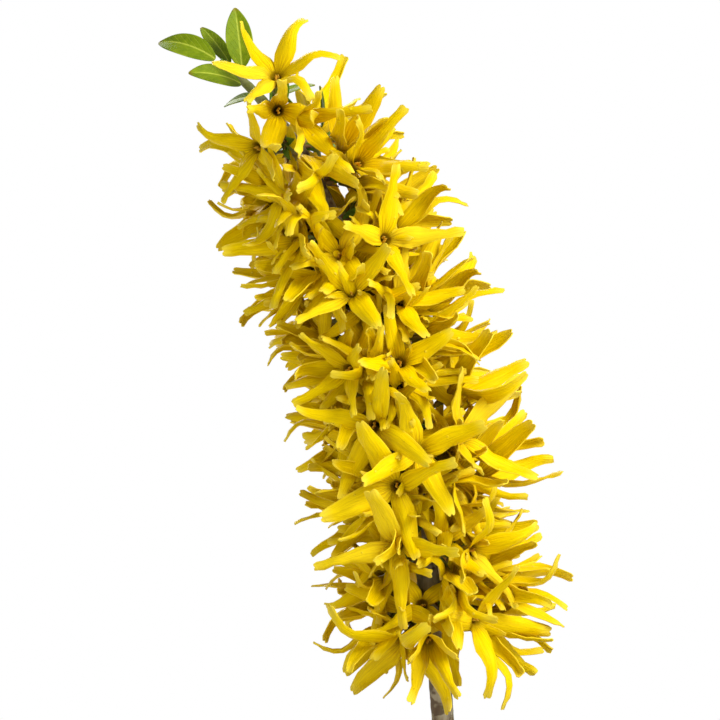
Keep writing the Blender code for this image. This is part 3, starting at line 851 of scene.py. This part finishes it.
def model_stamens():
    """Two anthers and the style's head between them, standing in the throat."""
    made = []
    for side in (-1, 0, 1):
        clear_selection()
        bpy.ops.mesh.primitive_uv_sphere_add(segments=8, ring_count=6, radius=0.00048)
        piece = bpy.context.object
        edit(piece)
        bpy.ops.mesh.select_all(action="SELECT")
        bpy.ops.transform.resize(value=(0.85, 0.8, 2.0))
        choose(lambda co: co.z > 0.0004)
        bpy.ops.transform.resize(value=(0.6, 0.6, 1), center_override=(0, 0, 0))
        bpy.ops.object.mode_set(mode="OBJECT")
        place = (side * 0.00058, 0.0003 * abs(side), -0.0003 - 0.0003 * abs(side))
        piece.data.transform(Matrix.Translation(place))
        made.append(piece)
    return join(made, "stamen_form")


def model_stalk():
    """A flower stalk one unit long up Z, thickening to a calyx at its upper end."""
    points = (
        (0.0, 0, 0.0),
        (0.00030, 0, 0.0),
        (0.00034, 0, 0.35),
        (0.00044, 0, 0.72),
        (0.00078, 0, 0.86),
        (0.00092, 0, 1.0),
        (0.00070, 0, 1.02),
        (0.0, 0, 1.02),
    )
    return turned(points, 7, "stalk")


def model_sepal():
    """A pointed sepal up Z, its back to +X, hugging the tube."""
    clear_selection()
    bpy.ops.mesh.primitive_grid_add(
        x_subdivisions=2, y_subdivisions=3, size=1, rotation=(math.pi / 2, 0, math.pi / 2)
    )
    piece = bpy.context.object
    piece.name = "sepal"
    bpy.ops.object.transform_apply(location=True, rotation=True, scale=True)
    edit(piece)
    bpy.ops.mesh.select_all(action="SELECT")
    bpy.ops.transform.translate(value=(0, 0, 0.5))
    for row, width in enumerate((0.7, 1.0, 0.75, 0.10)):
        height = row / 3
        choose(lambda co: abs(co.z - height) < 0.001)
        bpy.ops.transform.resize(value=(1, width, 1), center_override=(0, 0, height))
    bpy.ops.mesh.select_all(action="SELECT")
    bpy.ops.transform.resize(value=(1, 0.0013, 0.0028), center_override=(0, 0, 0))
    choose(lambda co: abs(co.y) < 0.00001)
    bpy.ops.transform.translate(value=(0.00022, 0, 0))
    choose(lambda co: co.z > 0.0026)
    bpy.ops.transform.translate(value=(0.00030, 0, 0))
    bpy.ops.object.mode_set(mode="OBJECT")
    return thicken(piece, 0.00012)


def lay_petal(template, petal, flower, wide, longer, shift):
    """A petal from the flower's tube to the frame's petal tip, its upper side to the axis.

    Its lowest rows spread around the tube's mouth, so that the petals make one funnel.
    """
    base, _, tip, across = petal
    throat, axis = flower["throat"], flower["axis"]
    run = tip - base
    up = run.normalized()
    above = up.cross(across).normalized()
    if above.dot(axis) < 0:
        above = -above
    side = up.cross(above)
    reach = run.length * longer
    turn = turned_to(side * reach * wide, -above * reach, up * reach)
    piece = copy_of(template, Matrix.Translation(base) @ turn, shift)
    out = (tip - throat) - axis * (tip - throat).dot(axis)
    out.normalize()
    around = out.cross(axis)
    count = PETAL_ACROSS + 1
    rows = len(template.data.vertices) // count - 1
    for vert in piece.data.vertices:
        height = vert.index // count / rows
        place = (vert.index % count / PETAL_ACROSS * 2 - 1) * math.copysign(1, wide)
        if height < FUNNEL:
            angle = place * math.pi / len(flower["petals"])
            wider = THROAT + height * reach * 0.50
            ring = (out * math.cos(angle) + around * math.sin(angle)) * wider
            ring += throat + axis * height * reach * 0.75
            vert.co = vert.co.lerp(ring, (1 - height / FUNNEL) ** 1.3)
    return piece


def flower_matrix(flower):
    """The throat at the origin and the axis up Z, one petal's side along X."""
    out = flower["petals"][0][2] - flower["throat"]
    side = (out - flower["axis"] * out.dot(flower["axis"])).normalized()
    turn = turned_to(side, flower["axis"].cross(side), flower["axis"])
    return Matrix.Translation(flower["throat"]) @ turn


class FORSYTHIA_OT_blooms(bpy.types.Operator):
    """Model every flower over its frame solid"""

    bl_idname = "forsythia.blooms"
    bl_label = "Blooms"

    def execute(self, context):
        look = context.scene.forsythia_bloom
        chance = random.Random(look.seed)
        petal = petal_finish(look)
        petals = [
            model_petal(f"petal_form_{i + 1}", form, look, i)
            for i, form in enumerate(PETAL_SHAPES)
        ]
        tube = model_tube()
        stamens = model_stamens()
        inner = []
        groups, _ = read_blooms(look.seed)
        for node, flowers in groups.items():
            parts = []
            for flower in flowers:
                place = flower_matrix(flower)
                parts.append(copy_of(tube, place, chance.randrange(1, 40)))
                inner.append(copy_of(stamens, place))
                usual = chance.choice((0, 0, 1, 2, 4, 6))
                for row in flower["petals"]:
                    form = usual if chance.random() < 0.4 else chance.randrange(len(petals))
                    wide = chance.uniform(0.85, 1.1) * chance.choice((-1, 1))
                    longer = chance.uniform(0.98, 1.06)
                    shift = chance.randrange(1, 40)
                    parts.append(lay_petal(petals[form], row, flower, wide, longer, shift))
            if not parts:
                raise RuntimeError(f"no flower was found in {node}")
            bloom = join(parts, node.replace("flowers", "bloom"))
            thicken(bloom, look.petal_thickness)
            round_off(bloom, 60)
            dress(bloom, petal, "petal", node)
        print(sum(len(flowers) for flowers in groups.values()), "flowers finished")
        anthers = join(inner, "stamens")
        round_off(anthers, 60)
        pollen = plain_finish("pollen", look.anther, (0.62, 0.45, 0.04), 900.0, 0.75)
        dress(anthers, pollen, "petal")
        discard(tube, stamens, *petals)
        return {"FINISHED"}


def stalk_and_calyx(stalk, sepal, root, flower):
    """A flower's stalk from the spur to its tube, and the four sepals round the tube."""
    run = flower["throat"] - flower["axis"] * CALYX_DEPTH - root
    stretch = Matrix.Diagonal((1, 1, run.length, 1))
    parts = [copy_of(stalk, Matrix.Translation(root) @ upright_on(run) @ stretch)]
    place = flower_matrix(flower)
    start = Matrix.Translation((0.00085, 0, -SEPAL_DEPTH))
    for index in range(4):
        spin = Matrix.Rotation(math.tau * (index + 0.5) / 4, 4, "Z")
        parts.append(copy_of(sepal, place @ spin @ start))
    return parts


def scales_on(sepal, foot, out, chance):
    """Two rings of bud scales round the foot of a spur."""
    parts = []
    for ring, (count, high, lean) in enumerate(((5, 0.0, 26), (4, 0.0010, 14))):
        for index in range(count):
            angle = math.tau * (index + 0.5 * ring) / count + chance.uniform(-0.2, 0.2)
            grown = chance.uniform(0.75, 1.15)
            matrix = (
                Matrix.Translation(foot - out * 0.0004)
                @ upright_on(out)
                @ Matrix.Rotation(angle, 4, "Z")
                @ Matrix.Translation((0.0009 - 0.0002 * ring, 0, high))
                @ Matrix.Rotation(math.radians(lean), 4, "Y")
                @ Matrix.Scale(grown, 4)
            )
            parts.append(copy_of(sepal, matrix))
    return parts


def small_buds(sepal, root, out, chance):
    """Two to four young leaves that break from a spur."""
    parts = []
    for _ in range(chance.choice((2, 3, 3, 4))):
        angle = math.tau * chance.random()
        matrix = (
            Matrix.Translation(root)
            @ upright_on(out)
            @ Matrix.Rotation(angle, 4, "Z")
            @ Matrix.Translation((0.0004, 0, 0))
            @ Matrix.Rotation(chance.uniform(0.3, 1.0), 4, "Y")
            @ Matrix.Scale(chance.uniform(1.5, 3.2), 4)
        )
        parts.append(copy_of(sepal, matrix))
    return parts


def end_bud(sepal, line):
    """The closed bud on the stem's tip."""
    end = (line[-1][0] - line[-3][0]).normalized()
    parts = []
    for index in range(6):
        inner = index % 2
        matrix = (
            Matrix.Translation(line[-1][0] - end * 0.0014)
            @ upright_on(end)
            @ Matrix.Rotation(math.tau * index / 6, 4, "Z")
            @ Matrix.Translation((0.0009 - 0.00035 * inner, 0, 0))
            @ Matrix.Rotation(-0.12 - 0.1 * inner, 4, "Y")
            @ Matrix.Scale(1.5 + 0.3 * inner, 4)
        )
        parts.append(copy_of(sepal, matrix))
    return parts


class FORSYTHIA_OT_stalks(bpy.types.Operator):
    """Model the flower stalks, calyces and bud scales"""

    bl_idname = "forsythia.stalks"
    bl_label = "Stalks and bud scales"

    def execute(self, context):
        look = context.scene.forsythia_bloom
        chance = random.Random(look.seed + 1)
        stalk, sepal = model_stalk(), model_sepal()
        green, brown, buds = [], [], []
        groups, spurs = read_blooms(look.seed)
        for node, flowers in groups.items():
            foot, out, _ = spurs[node]
            root = foot + out * ROOT_OUT
            for flower in flowers:
                green += stalk_and_calyx(stalk, sepal, root, flower)
            brown += scales_on(sepal, foot, out, chance)
            buds += small_buds(sepal, root, out, chance)
        buds += end_bud(sepal, stem_line())
        calyx = plain_finish("calyx_green", look.calyx, (0.24, 0.15, 0.05), 260.0, 0.55)
        scale = plain_finish("bud_scale", look.scale_brown, (0.36, 0.24, 0.10), 420.0, 0.7)
        fresh = plain_finish("leaf_bud", (0.16, 0.30, 0.015), (0.09, 0.19, 0.012), 300.0, 0.4)
        for parts, name, smooth, finish, slot in (
            (green, "stalks", 60, calyx, "leaf"),
            (brown, "bud_scales", 50, scale, "bark"),
            (buds, "leaf_buds", 60, fresh, "leaf"),
        ):
            piece = join(parts, name)
            round_off(piece, smooth)
            dress(piece, finish, slot)
        discard(stalk, sepal)
        return {"FINISHED"}


# ---------------------------------------------------------------- leaves


def leaf_axes(piece, line):
    """(stalk end, way to the tip, across, length) of a leaf."""
    points = [vert.co.copy() for vert in piece.data.vertices]
    centre = sum(points, Vector()) / len(points)
    far = max(points, key=lambda point: (point - centre).length)
    other = max(points, key=lambda point: (point - far).length)
    ends = sorted((far, other), key=lambda point: (point - nearest_on(line, point)[0]).length)
    run = ends[1] - ends[0]
    way = run.normalized()
    best, across = 0, None
    for point in points:
        for second in points:
            apart = (second - point) - way * (second - point).dot(way)
            if apart.length > best:
                best, across = apart.length, apart.normalized()
    return ends[0], way, across, run.length


class FORSYTHIA_OT_leaves(bpy.types.Operator):
    """Model the young leaves over their frame solids"""

    bl_idname = "forsythia.leaves"
    bl_label = "Leaves"

    def execute(self, context):
        finish = leaf_finish(context.scene.forsythia_leaf)
        line = stem_line()
        for node in LEAVES:
            piece = solid_copy(node, f"{node}_blade")
            edit(piece)
            bpy.ops.mesh.select_all(action="SELECT")
            bpy.ops.mesh.tris_convert_to_quads(
                face_threshold=math.radians(60), shape_threshold=math.radians(60)
            )
            bpy.ops.object.mode_set(mode="OBJECT")
            add_modifier(piece, "SUBSURF", levels=3, render_levels=3)
            add_modifier(piece, "DISPLACE", strength=0.00008, mid_level=0)
            finished(piece)
            start, way, across, run = leaf_axes(piece, line)
            layer = piece.data.uv_layers.new(name="blade")
            half = max(abs((v.co - start).dot(across)) for v in piece.data.vertices)
            for loop in piece.data.loops:
                offset = piece.data.vertices[loop.vertex_index].co - start
                layer.data[loop.index].uv = (offset.dot(across) / half, offset.dot(way) / run)
            round_off(piece, 50)
            dress(piece, finish, "leaf", node)
        return {"FINISHED"}


# ---------------------------------------------------------------- wood


# The pores keep off the buried foot and the tender tip: the points that they leave free at
# either end of the stem's smooth line.
PORES_FROM = 12
PORES_END = 4


def smooth_line(line, between):
    """The stem's line with more points on smooth curves between its own."""
    made = []
    for index in range(len(line) - 1):
        before = line[max(0, index - 1)]
        start, end = line[index], line[index + 1]
        after = line[min(len(line) - 1, index + 2)]
        for step in range(between):
            t = step / between
            ways = (end[0] - before[0]) / 2, (after[0] - start[0]) / 2
            h = (
                2 * t**3 - 3 * t**2 + 1,
                t**3 - 2 * t**2 + t,
                -2 * t**3 + 3 * t**2,
                t**3 - t**2,
            )
            point = start[0] * h[0] + ways[0] * h[1] + end[0] * h[2] + ways[1] * h[3]
            made.append((point, start[1] * (1 - t) + end[1] * t))
    made.append(line[-1])
    return made


class FORSYTHIA_OT_stem(bpy.types.Operator):
    """Model the woody stem with its bark and raised pores"""

    bl_idname = "forsythia.stem"
    bl_label = "Woody stem"

    def execute(self, context):
        look = context.scene.forsythia_wood
        chance = random.Random(5)
        line = smooth_line(stem_line(), 3)
        clear_selection()
        bpy.ops.curve.primitive_nurbs_path_add()
        holder = bpy.context.object
        curve = holder.data
        curve.splines.clear()
        curve.dimensions = "3D"
        curve.bevel_depth = 1
        curve.bevel_resolution = 5
        curve.use_fill_caps = True
        spline = curve.splines.new("POLY")
        spline.points.add(len(line) - 1)
        for point, (place, radius) in zip(spline.points, line):
            point.co = (*place, 1)
            point.radius = radius
        pick_up(holder)
        bpy.ops.object.convert(target="MESH")
        stem = bpy.context.object
        edit(stem)
        bpy.ops.mesh.select_all(action="SELECT")
        bpy.ops.mesh.remove_doubles(threshold=0.00001)
        bpy.ops.mesh.subdivide(number_cuts=1)
        bpy.ops.object.mode_set(mode="OBJECT")
        roughen(stem, "ridges", 0.0016, strength=0.0003)
        finished(stem)
        clear_selection()
        bpy.ops.mesh.primitive_ico_sphere_add(subdivisions=1, radius=0.00022)
        pore = bpy.context.object
        edit(pore)
        bpy.ops.mesh.select_all(action="SELECT")
        bpy.ops.transform.resize(value=(1, 0.55, 1.5))
        bpy.ops.object.mode_set(mode="OBJECT")
        pieces = [stem]
        for _ in range(look.pores):
            place, radius = line[chance.randrange(PORES_FROM, len(line) - PORES_END)]
            _, along = nearest_on(line, place)
            turn = chance.uniform(0, math.tau)
            side = along.orthogonal().normalized()
            out = side * math.cos(turn) + along.cross(side) * math.sin(turn)
            lift = along * chance.uniform(-0.0012, 0.0012)
            basis = turned_to(along.cross(out), out, along)
            spot = Matrix.Translation(place + lift + out * radius * 0.985)
            grown = Matrix.Scale(chance.uniform(0.6, 1.4), 4)
            pieces.append(copy_of(pore, spot @ basis @ grown))
        stem = join(pieces, "woody_stem")
        round_off(stem, 60)
        dress(stem, bark_finish(look), "bark", "stem")
        discard(pore)
        return {"FINISHED"}


class FORSYTHIA_OT_side_shoot(bpy.types.Operator):
    """Model the short side shoot that bears small leaves"""

    bl_idname = "forsythia.side_shoot"
    bl_label = "Side shoot"

    def execute(self, context):
        piece = solid_copy("side_shoot", "young_shoot")
        edit(piece)
        bpy.ops.mesh.select_all(action="SELECT")
        bpy.ops.mesh.tris_convert_to_quads()
        bpy.ops.mesh.subdivide(number_cuts=2)
        bpy.ops.object.mode_set(mode="OBJECT")
        add_modifier(piece, "SUBSURF", levels=1, render_levels=1)
        finished(piece)
        round_off(piece, 60)
        young = plain_finish("young_shoot", (0.17, 0.24, 0.03), (0.26, 0.17, 0.06), 300.0, 0.5)
        dress(piece, young, "leaf", "side_shoot")
        return {"FINISHED"}


# ---------------------------------------------------------------- pot and soil


# The pot's drain holes, as in its frame solid.
DRAIN_COUNT = 3
DRAIN_RADIUS = 0.0042
DRAIN_CIRCLE = 0.017

# Depth of the soil's loose crust below its highest point.
CRUST = 0.0040


class FORSYTHIA_OT_pot(bpy.types.Operator):
    """Model the clay pot over its frame solid"""

    bl_idname = "forsythia.pot"
    bl_label = "Clay pot"

    def execute(self, context):
        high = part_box("pot")[1]
        radius, top = high.x, high.z
        points = (
            (0.0, 0, 0),
            (radius - 0.0190, 0, 0),
            (radius - 0.0175, 0, 0.0006),
            (radius - 0.0169, 0, 0.0016),
            (radius - 0.0104, 0, top * 0.42),
            (radius - 0.0044, 0, top - 0.0216),
            (radius - 0.0030, 0, top - 0.0204),
            (radius - 0.0010, 0, top - 0.0198),
            (radius - 0.0003, 0, top - 0.0188),
            (radius - 0.0002, 0, top - 0.0100),
            (radius, 0, top - 0.0022),
            (radius - 0.0005, 0, top - 0.0008),
            (radius - 0.0018, 0, top),
            (radius - 0.0036, 0, top - 0.0002),
            (radius - 0.0047, 0, top - 0.0014),
            (radius - 0.0068, 0, top - 0.0110),
            (radius - 0.0140, 0, top * 0.5),
            (radius - 0.0216, 0, 0.0078),
            (radius - 0.0228, 0, 0.0066),
            (0.0, 0, 0.0065),
        )
        pot = turned(points, 112, "clay_pot")
        for index in range(DRAIN_COUNT):
            angle = math.tau * index / DRAIN_COUNT + math.pi / 2
            x, y = DRAIN_CIRCLE * math.cos(angle), DRAIN_CIRCLE * math.sin(angle)
            clear_selection()
            bpy.ops.mesh.primitive_cylinder_add(
                vertices=32, radius=DRAIN_RADIUS, depth=0.03, location=(x, y, 0.003)
            )
            hole = bpy.context.object
            add_modifier(pot, "BOOLEAN", operation="DIFFERENCE", object=hole)
            finished(pot)
            discard(hole)
        round_off(pot, 32)
        dress(pot, clay_finish(context.scene.forsythia_pot), "terracotta", "pot")
        return {"FINISHED"}


class FORSYTHIA_OT_soil(bpy.types.Operator):
    """Model the crumbly soil and its loose bits"""

    bl_idname = "forsythia.soil"
    bl_label = "Potting soil"

    def execute(self, context):
        look = context.scene.forsythia_pot
        chance = random.Random(23)
        low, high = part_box("soil")
        radius, top = high.x, high.z
        points = (
            (0.0, 0, top - 0.0006),
            (0.010, 0, top - 0.0008),
            (radius * 0.55, 0, top - 0.0013),
            (radius * 0.90, 0, top - 0.0024),
            (radius - 0.0002, 0, top - 0.0036),
            (radius - 0.0030, 0, top - 0.020),
            (radius - 0.0100, 0, low.z + 0.010),
            (radius - 0.0170, 0, low.z + 0.0002),
            (0.0, 0, low.z),
        )
        soil = turned(points, 96, "soil_bed")
        edit(soil)
        choose(lambda co: co.z > top - CRUST)
        bpy.ops.mesh.subdivide(number_cuts=5)
        bpy.ops.object.mode_set(mode="OBJECT")
        upper = soil.vertex_groups.new(name="upper")
        for vert in soil.data.vertices:
            if vert.co.z > top - CRUST and vert.co.xy.length < radius - 0.0006:
                upper.add([vert.index], 1, "REPLACE")
        crumbs = {"direction": "Z", "mid_level": 0.62, "vertex_group": "upper"}
        roughen(soil, "crumbs", 0.0075, strength=0.0022, **crumbs)
        roughen(soil, "crumbs", 0.0022, strength=0.0014, **crumbs)
        finished(soil)
        soil.vertex_groups.clear()
        round_off(soil, 75)
        dress(soil, soil_finish(look), "soil", "soil")
        clear_selection()
        bpy.ops.mesh.primitive_cube_add(size=1)
        bit = bpy.context.object
        bit.name = "bit"
        edit(bit)
        bpy.ops.mesh.select_all(action="SELECT")
        bpy.ops.mesh.bevel(offset=0.22, segments=1, affect="EDGES")
        choose(lambda co: co.x > 0.2)
        bpy.ops.transform.resize(value=(1, 0.5, 0.7), center_override=(0.5, 0, 0))
        bpy.ops.object.mode_set(mode="OBJECT")
        bits = []
        for _ in range(look.bark_bits):
            reach = (radius - 0.0045) * math.sqrt(chance.random())
            angle = chance.uniform(0, math.tau)
            if reach < 0.005:
                continue
            size = chance.uniform(0.0006, 0.0017)
            level = top - 0.0011 - 0.0020 * (reach / radius) ** 2
            shape = Matrix.Diagonal(
                (size * chance.uniform(1, 2.6), size, size * chance.uniform(0.4, 0.8), 1)
            )
            turn = (
                Matrix.Rotation(chance.uniform(0, math.tau), 4, "Z")
                @ Matrix.Rotation(chance.uniform(-0.5, 0.5), 4, "X")
                @ Matrix.Rotation(chance.uniform(-0.4, 0.4), 4, "Y")
            )
            place = (reach * math.cos(angle), reach * math.sin(angle), level)
            bits.append(copy_of(bit, Matrix.Translation(place) @ turn @ shape))
        litter = join(bits, "soil_litter")
        discard(bit)
        round_off(litter, 30)
        chips = plain_finish("bark_chips", (0.085, 0.045, 0.022), (0.20, 0.12, 0.06), 190.0, 0.85)
        dress(litter, chips, "soil")
        return {"FINISHED"}


# ---------------------------------------------------------------- stage


FLOOR_RADIUS = 0.85
CAMERA_PLACE = (-0.0224, -0.80, 0.2056)
CAMERA_LENS = 154

# Lamps as (name, place, size, power), and the point that they face.
LAMPS = (
    ("key", (0.55, -0.50, 0.75), 0.45, 11.6),
    ("fill", (-0.80, -0.60, 0.35), 0.60, 1.3),
    ("back", (-0.25, 0.75, 0.60), 0.60, 5.0),
)
LAMP_AIM = (-0.02, 0, 0.18)


class FORSYTHIA_OT_stage(bpy.types.Operator):
    """Set up the floor, lights and camera"""

    bl_idname = "forsythia.stage"
    bl_label = "Stage"

    def execute(self, context):
        scene = context.scene
        clear_selection()
        bpy.ops.mesh.primitive_circle_add(vertices=96, radius=FLOOR_RADIUS, fill_type="NGON")
        floor = bpy.context.object
        floor.name = "floor"
        edit(floor)
        bpy.ops.mesh.select_all(action="SELECT")
        bpy.ops.transform.translate(value=(0, 0, -0.0002))
        bpy.ops.object.mode_set(mode="OBJECT")
        finish = Finish("pale_floor")
        cloud = finish.noise(finish.place(), 3.0, 2.0)
        tint = finish.mix(cloud, (0.86, 0.86, 0.85), (0.90, 0.90, 0.89))
        reach = finish.node(
            "ShaderNodeVectorMath", {"operation": "LENGTH"}, {"Vector": finish.place()}
        )["Value"]
        edge = finish.rise(reach, 0.25, 0.84)
        floor.data.materials.append(
            finish.apply(
                Base_Color=finish.mix(edge, tint, (0.0, 0.0, 0.0)),
                Roughness=0.9,
                Specular_IOR_Level=0.0,
                Emission_Color=finish.mix(edge, (0.0, 0.0, 0.0), (1.0, 1.0, 1.0)),
                Emission_Strength=1.0,
            )
        )
        floor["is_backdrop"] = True
        self.lights(scene)
        lens = bpy.data.cameras.new("camera")
        lens.lens = CAMERA_LENS
        lens.sensor_width = 36
        camera = bpy.data.objects.new("camera", lens)
        scene.collection.objects.link(camera)
        camera.location = CAMERA_PLACE
        camera.rotation_euler = (math.pi / 2, 0, 0)
        scene.camera = camera
        scene.view_settings.view_transform = "Standard"
        return {"FINISHED"}

    def lights(self, scene):
        world = bpy.data.worlds.new("studio")
        world.use_nodes = True
        scene.world = world
        tree = world.node_tree
        seen = tree.nodes["Background"]
        seen.inputs["Color"].default_value = (1, 1, 1, 1)
        soft = tree.nodes.new("ShaderNodeBackground")
        soft.inputs["Color"].default_value = (1, 1, 1, 1)
        soft.inputs["Strength"].default_value = 0.40
        path = tree.nodes.new("ShaderNodeLightPath")
        both = tree.nodes.new("ShaderNodeMixShader")
        tree.links.new(path.outputs["Is Camera Ray"], both.inputs[0])
        tree.links.new(soft.outputs[0], both.inputs[1])
        tree.links.new(seen.outputs[0], both.inputs[2])
        tree.links.new(both.outputs[0], tree.nodes["World Output"].inputs[0])
        for name, place, size, power in LAMPS:
            lamp = bpy.data.lights.new(name, "AREA")
            lamp.size = size
            lamp.energy = power
            holder = bpy.data.objects.new(name, lamp)
            scene.collection.objects.link(holder)
            holder.location = place
            aim = Vector(LAMP_AIM) - Vector(place)
            holder.rotation_euler = aim.to_track_quat("-Z", "Y").to_euler()


# ---------------------------------------------------------------- add-on


OPERATORS = (
    FORSYTHIA_OT_stage,
    FORSYTHIA_OT_pot,
    FORSYTHIA_OT_soil,
    FORSYTHIA_OT_stem,
    FORSYTHIA_OT_side_shoot,
    FORSYTHIA_OT_leaves,
    FORSYTHIA_OT_stalks,
    FORSYTHIA_OT_blooms,
)


class FORSYTHIA_PT_panel(bpy.types.Panel):
    bl_label = "Potted Forsythia"
    bl_idname = "FORSYTHIA_PT_panel"
    bl_space_type = "VIEW_3D"
    bl_region_type = "UI"
    bl_category = "Forsythia"

    def draw(self, context):
        layout = self.layout
        for group in ("forsythia_bloom", "forsythia_leaf", "forsythia_wood", "forsythia_pot"):
            settings = getattr(context.scene, group)
            box = layout.box()
            for name in settings.__annotations__:
                box.prop(settings, name)
        for operator in OPERATORS:
            layout.operator(operator.bl_idname)


SETTINGS = {
    "forsythia_bloom": BloomSettings,
    "forsythia_leaf": LeafSettings,
    "forsythia_wood": WoodSettings,
    "forsythia_pot": PotSettings,
}
CLASSES = (*SETTINGS.values(), *OPERATORS, FORSYTHIA_PT_panel)


def register():
    for item in CLASSES:
        bpy.utils.register_class(item)
    for name, group in SETTINGS.items():
        setattr(bpy.types.Scene, name, bpy.props.PointerProperty(type=group))


def unregister():
    for name in SETTINGS:
        delattr(bpy.types.Scene, name)
    for item in reversed(CLASSES):
        bpy.utils.unregister_class(item)


def corners():
    return [[float(number) for number in corner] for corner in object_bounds()]


def main():
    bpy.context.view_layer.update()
    register()
    bpy.ops.forsythia.stage()
    bpy.ops.forsythia.pot()
    bpy.ops.forsythia.soil()
    bpy.ops.forsythia.stem()
    bpy.ops.forsythia.side_shoot()
    bpy.ops.forsythia.leaves()
    bpy.ops.forsythia.stalks()
    bpy.ops.forsythia.blooms()


if __name__ == "__main__":
    main()
